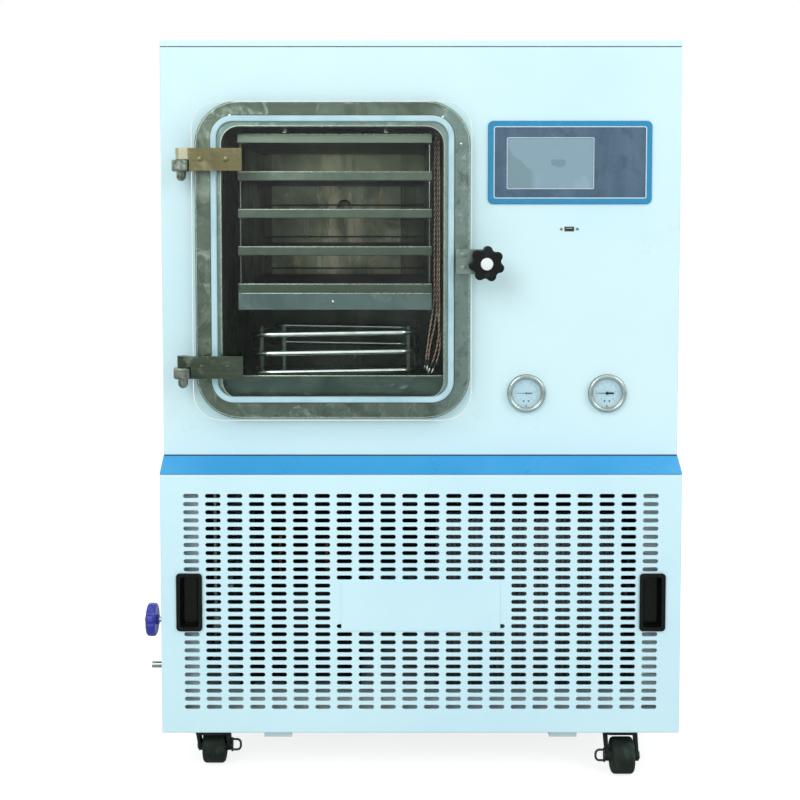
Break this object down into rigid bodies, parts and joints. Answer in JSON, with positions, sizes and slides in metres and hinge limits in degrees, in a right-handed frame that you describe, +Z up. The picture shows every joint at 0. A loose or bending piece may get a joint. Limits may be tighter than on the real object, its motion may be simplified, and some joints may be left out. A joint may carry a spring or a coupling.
{
  "type": "freeze dryer",
  "caption": "Floor-standing freeze dryer: clear hinged door over a shelved vacuum chamber, control panel, gauges, slotted lower front, drain valve, casters.",
  "frame": {"origin": "on the floor, under the middle of the whole part's box", "axes": "+Z up; the machine's front faces -Y; +X is to the right seen from the front"},
  "size_m": [0.962, 0.9714, 1.282],
  "materials": {
    "white_paint": "smooth semi-gloss paint, bluish white",
    "blue_paint": "smooth blue paint",
    "frame_paint": "grey paint",
    "black_paint": "black enamel",
    "stainless": "brushed",
    "polished_steel": "polished",
    "aluminium": "satin",
    "galvanised": "zinc plated",
    "copper": "drawn copper tube",
    "clear_door": "clear, polished edges",
    "lens": "clear",
    "screen": "glass-faced display",
    "bezel_blue": "satin blue",
    "panel_grey": "satin dark blue-grey",
    "black_plastic": "matt black",
    "navy_plastic": "matt dark blue",
    "silicone": "milky translucent",
    "black_rubber": "matt",
    "foam": "closed-cell foam",
    "gauge_white": "white dial in a steel case",
    "wheel_nylon": "matt black"
  },
  "bodies": {
    "cabinet": {"base_frame": "frame_paint", "left_side_panel": "white_paint", "right_side_panel": "white_paint", "top_cover": "white_paint", "front_fascia": "white_paint", "trim_band": "blue_paint", "rear_panel": "white_paint", "compressor_primary": "black_paint", "compressor_secondary": "black_paint", "compressor_grommets": "black_rubber", "condenser_core": "aluminium", "fan_shroud": "galvanised", "refrigerant_lines": "copper", "chamber_shell": "stainless", "chamber_flange": "stainless", "door_gasket": "silicone", "chamber_insulation": "foam", "vacuum_port": "stainless", "shelf_rack": "stainless", "shelf_1": "aluminium", "shelf_2": "aluminium", "shelf_3": "aluminium", "shelf_4": "aluminium", "shelf_5": "aluminium", "baffle_tray": "stainless", "cold_trap_coil": "stainless", "probe_cables": "black_plastic", "hinge_brackets": "polished_steel", "latch_boss": "polished_steel", "display_bezel": "bezel_blue", "display_panel": "panel_grey", "display_screen": "screen", "usb_socket": "black_plastic", "gauge_1": "gauge_white", "gauge_2": "gauge_white", "gauge_lenses": "lens", "drain_valve": "stainless"},
    "door": {"door_plate": "clear_door", "hinge_plates": "stainless", "door_screws": "polished_steel", "latch_plate": "stainless"},
    "knob_slide": {"knob_washer": "polished_steel"},
    "knob": {"star_knob": "black_plastic"},
    "front_panel": {"grille_panel": "white_paint", "blank_plate": "white_paint", "flush_handles": "black_plastic"},
    "handwheel": {"valve_handwheel": "navy_plastic"},
    "pointer_1": {"gauge_1_pointer": "black_paint"},
    "pointer_2": {"gauge_2_pointer": "black_paint"},
    "fan": {"fan_blades": "aluminium"},
    "swivel_front_left": {"caster_fork_front_left": "black_plastic"},
    "wheel_front_left": {"caster_wheel_front_left": "wheel_nylon"},
    "swivel_front_right": {"caster_fork_front_right": "black_plastic"},
    "wheel_front_right": {"caster_wheel_front_right": "wheel_nylon"},
    "swivel_rear_left": {"caster_fork_rear_left": "black_plastic"},
    "wheel_rear_left": {"caster_wheel_rear_left": "wheel_nylon"},
    "swivel_rear_right": {"caster_fork_rear_right": "black_plastic"},
    "wheel_rear_right": {"caster_wheel_rear_right": "wheel_nylon"},
    "brake_front_left": {"brake_loop_front_left": "polished_steel"},
    "brake_front_right": {"brake_loop_front_right": "polished_steel"}
  },
  "joints": [
    {"name": "door_hinge", "type": "hinge", "parent": "cabinet", "child": "door", "pos_m": [-0.377, -0.44285, 0.9025], "axis": [0, 0, -1], "range_deg": [0, 120]},
    {"name": "knob_travel", "type": "slide", "parent": "door", "child": "knob_slide", "axis": [0, -1, 0], "range_m": [0, 0.0121]},
    {"name": "knob_turn", "type": "hinge", "parent": "knob_slide", "child": "knob", "pos_m": [0.1405, -0.45465, 0.8998], "axis": [0, -1, 0], "range_deg": [0, 2880]},
    {"name": "front_panel_pull", "type": "slide", "parent": "cabinet", "child": "front_panel", "axis": [0, -1, 0], "range_m": [0, 0.12]},
    {"name": "handwheel_turn", "type": "hinge", "parent": "cabinet", "child": "handwheel", "pos_m": [-0.481, -0.23635, 0.2196], "axis": [-1, 0, 0], "range_deg": [0, 1440]},
    {"name": "gauge_1_needle", "type": "hinge", "parent": "cabinet", "child": "pointer_1", "pos_m": [0.2153, -0.40525, 0.6719], "axis": [0, 1, 0], "range_deg": [-45, 225]},
    {"name": "gauge_2_needle", "type": "hinge", "parent": "cabinet", "child": "pointer_2", "pos_m": [0.3563, -0.40525, 0.6719], "axis": [0, 1, 0], "range_deg": [-45, 225]},
    {"name": "fan_spin", "type": "hinge", "parent": "cabinet", "child": "fan", "pos_m": [0.236, -0.19505, 0.255], "axis": [0, 1, 0], "continuous": true},
    {"name": "swivel_front_left_turn", "type": "hinge", "parent": "cabinet", "child": "swivel_front_left", "pos_m": [-0.337, -0.39235, 0.0807], "axis": [0, 0, 1], "continuous": true},
    {"name": "wheel_front_left_roll", "type": "hinge", "parent": "swivel_front_left", "child": "wheel_front_left", "pos_m": [-0.337, -0.36835, 0.0315], "axis": [1, 0, 0], "continuous": true},
    {"name": "brake_front_left_tread", "type": "hinge", "parent": "swivel_front_left", "child": "brake_front_left", "pos_m": [-0.337, -0.36835, 0.0315], "axis": [1, 0, 0], "range_deg": [0, 60]},
    {"name": "swivel_front_right_turn", "type": "hinge", "parent": "cabinet", "child": "swivel_front_right", "pos_m": [0.386, -0.39235, 0.0807], "axis": [0, 0, 1], "continuous": true},
    {"name": "wheel_front_right_roll", "type": "hinge", "parent": "swivel_front_right", "child": "wheel_front_right", "pos_m": [0.386, -0.41635, 0.0315], "axis": [1, 0, 0], "continuous": true},
    {"name": "brake_front_right_tread", "type": "hinge", "parent": "swivel_front_right", "child": "brake_front_right", "pos_m": [0.386, -0.41635, 0.0315], "axis": [1, 0, 0], "range_deg": [0, 60]},
    {"name": "swivel_rear_left_turn", "type": "hinge", "parent": "cabinet", "child": "swivel_rear_left", "pos_m": [-0.337, 0.40365, 0.0807], "axis": [0, 0, 1], "continuous": true},
    {"name": "wheel_rear_left_roll", "type": "hinge", "parent": "swivel_rear_left", "child": "wheel_rear_left", "pos_m": [-0.337, 0.37965, 0.0315], "axis": [1, 0, 0], "continuous": true},
    {"name": "swivel_rear_right_turn", "type": "hinge", "parent": "cabinet", "child": "swivel_rear_right", "pos_m": [0.386, 0.40365, 0.0807], "axis": [0, 0, 1], "continuous": true},
    {"name": "wheel_rear_right_roll", "type": "hinge", "parent": "swivel_rear_right", "child": "wheel_rear_right", "pos_m": [0.386, 0.42765, 0.0315], "axis": [1, 0, 0], "continuous": true}
  ],
  "couplings": [
    {"joint": "knob_travel", "follows": "knob_turn", "m_per_rad": 0.00023873}
  ]
}
